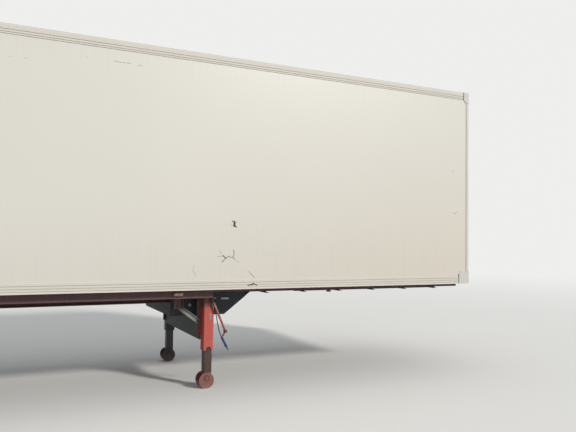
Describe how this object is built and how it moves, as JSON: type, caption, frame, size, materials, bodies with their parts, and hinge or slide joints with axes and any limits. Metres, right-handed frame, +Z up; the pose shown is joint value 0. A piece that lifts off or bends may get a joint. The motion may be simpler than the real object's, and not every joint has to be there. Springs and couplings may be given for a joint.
{
  "type": "semi trailer",
  "caption": "Long insulated box semi-trailer with opening rear doors, rolling wheels and sliding landing legs, parked on its legs.",
  "frame": {"origin": "on the ground, under the middle of the overall length", "axes": "+X towards the front of the trailer, +Y towards its left-hand side, +Z up"},
  "size_m": [13.6, 2.6, 4],
  "materials": {
    "white_skin": "weathered gelcoat",
    "floor_board": "worn",
    "rail_aluminium": "anodised, dull",
    "cast_caps": "cast, dull",
    "steel_frame": "satin",
    "galvanised": "galvanised",
    "chassis_paint": "dusty paint",
    "dark_paint": "dusty paint",
    "leg_paint": "faded, worn paint",
    "bare_steel": "greased and rusty",
    "black_rubber": "matte",
    "blue_plastic": "faded",
    "black_steel": "dusty paint",
    "black_plastic": "grained",
    "lamp_plastic": "clear over colour",
    "tyre": "matte",
    "rim_steel": "satin"
  },
  "bodies": {
    "trailer": {"floor": "floor_board", "roof": "white_skin", "side_wall_right": "white_skin", "side_wall_left": "white_skin", "front_wall": "white_skin", "body_rails": "rail_aluminium", "corner_caps": "cast_caps", "rear_frame": "steel_frame", "main_beams": "chassis_paint", "cross_members": "chassis_paint", "side_rails": "chassis_paint", "coupler_plate": "chassis_paint", "leg_support_frame": "dark_paint", "leg_bracing": "dark_paint", "leg_drive": "leg_paint", "leg_right_outer_tube": "leg_paint", "leg_left_outer_tube": "leg_paint", "hanging_cable": "black_rubber", "cable_connector": "blue_plastic", "axles": "black_steel", "trailing_arms": "black_steel", "air_springs": "black_rubber", "mudguards": "black_plastic", "underrun_bar": "chassis_paint", "rear_panel": "chassis_paint", "lamps": "lamp_plastic", "buffers": "black_rubber", "air_tanks": "black_steel", "front_couplings": "dark_paint"},
    "door_right_leaf": {"door_right": "white_skin", "door_right_hardware": "galvanised"},
    "door_left_leaf": {"door_left": "white_skin", "door_left_hardware": "galvanised"},
    "leg_right_foot": {"leg_right_inner_tube": "bare_steel"},
    "leg_left_foot": {"leg_left_inner_tube": "bare_steel"},
    "wheel_front_right": {"wheel_front_right_tyre": "tyre", "wheel_front_right_rim": "rim_steel"},
    "wheel_front_left": {"wheel_front_left_tyre": "tyre", "wheel_front_left_rim": "rim_steel"},
    "wheel_middle_right": {"wheel_middle_right_tyre": "tyre", "wheel_middle_right_rim": "rim_steel"},
    "wheel_middle_left": {"wheel_middle_left_tyre": "tyre", "wheel_middle_left_rim": "rim_steel"},
    "wheel_rear_right": {"wheel_rear_right_tyre": "tyre", "wheel_rear_right_rim": "rim_steel"},
    "wheel_rear_left": {"wheel_rear_left_tyre": "tyre", "wheel_rear_left_rim": "rim_steel"}
  },
  "joints": [
    {"name": "door_right_hinge", "type": "hinge", "parent": "trailer", "child": "door_right_leaf", "pos_m": [-6.775, -1.285, 2.6], "axis": [0, 0, 1], "range_deg": [0, 270]},
    {"name": "door_left_hinge", "type": "hinge", "parent": "trailer", "child": "door_left_leaf", "pos_m": [-6.775, 1.285, 2.6], "axis": [0, 0, 1], "range_deg": [-270, 0]},
    {"name": "leg_right_slide", "type": "slide", "parent": "trailer", "child": "leg_right_foot", "axis": [0, 0, 1], "range_m": [-0.2, 0.24]},
    {"name": "leg_left_slide", "type": "slide", "parent": "trailer", "child": "leg_left_foot", "axis": [0, 0, 1], "range_m": [-0.2, 0.24]},
    {"name": "wheel_front_right_spin", "type": "hinge", "parent": "trailer", "child": "wheel_front_right", "pos_m": [-1.25, -1.045, 0.525], "axis": [0, 1, 0], "continuous": true},
    {"name": "wheel_front_left_spin", "type": "hinge", "parent": "trailer", "child": "wheel_front_left", "pos_m": [-1.25, 1.045, 0.525], "axis": [0, 1, 0], "continuous": true},
    {"name": "wheel_middle_right_spin", "type": "hinge", "parent": "trailer", "child": "wheel_middle_right", "pos_m": [-2.56, -1.045, 0.525], "axis": [0, 1, 0], "continuous": true},
    {"name": "wheel_middle_left_spin", "type": "hinge", "parent": "trailer", "child": "wheel_middle_left", "pos_m": [-2.56, 1.045, 0.525], "axis": [0, 1, 0], "continuous": true},
    {"name": "wheel_rear_right_spin", "type": "hinge", "parent": "trailer", "child": "wheel_rear_right", "pos_m": [-3.87, -1.045, 0.525], "axis": [0, 1, 0], "continuous": true},
    {"name": "wheel_rear_left_spin", "type": "hinge", "parent": "trailer", "child": "wheel_rear_left", "pos_m": [-3.87, 1.045, 0.525], "axis": [0, 1, 0], "continuous": true}
  ],
  "couplings": [
    {"joint": "leg_left_slide", "follows": "leg_right_slide", "ratio": 1}
  ]
}
